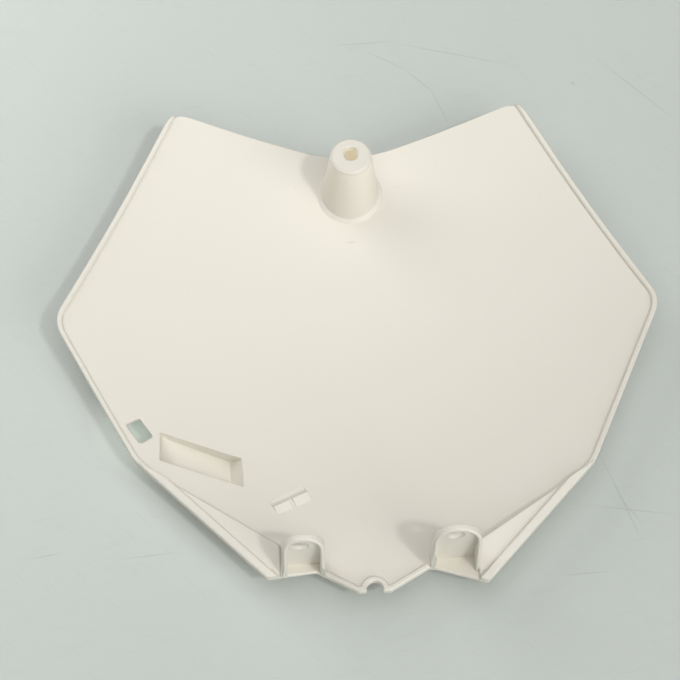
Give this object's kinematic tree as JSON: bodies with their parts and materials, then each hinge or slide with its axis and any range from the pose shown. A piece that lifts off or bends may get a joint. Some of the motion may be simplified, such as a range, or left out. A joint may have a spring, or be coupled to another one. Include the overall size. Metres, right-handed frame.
{
  "type": "racing number board",
  "caption": "White moulded number board for the front of an off-road motorcycle, bowed and hollow at its back, with a screw boss, peg lugs and a hose pocket.",
  "frame": {"origin": "middle of the bounding box in plan, at its lowest point, with the board lying on its front face", "axes": "+X across the board to the right as seen from the back, +Y towards the top edge, +Z out of the hollow back along the draw of the mould"},
  "size_m": [0.2956, 0.2624, 0.0536],
  "materials": {
    "white_plastic": "fine moulded texture, slightly warm white, light scuffs"
  },
  "bodies": {
    "root": {"number_board": "white_plastic"}
  },
  "joints": []
}
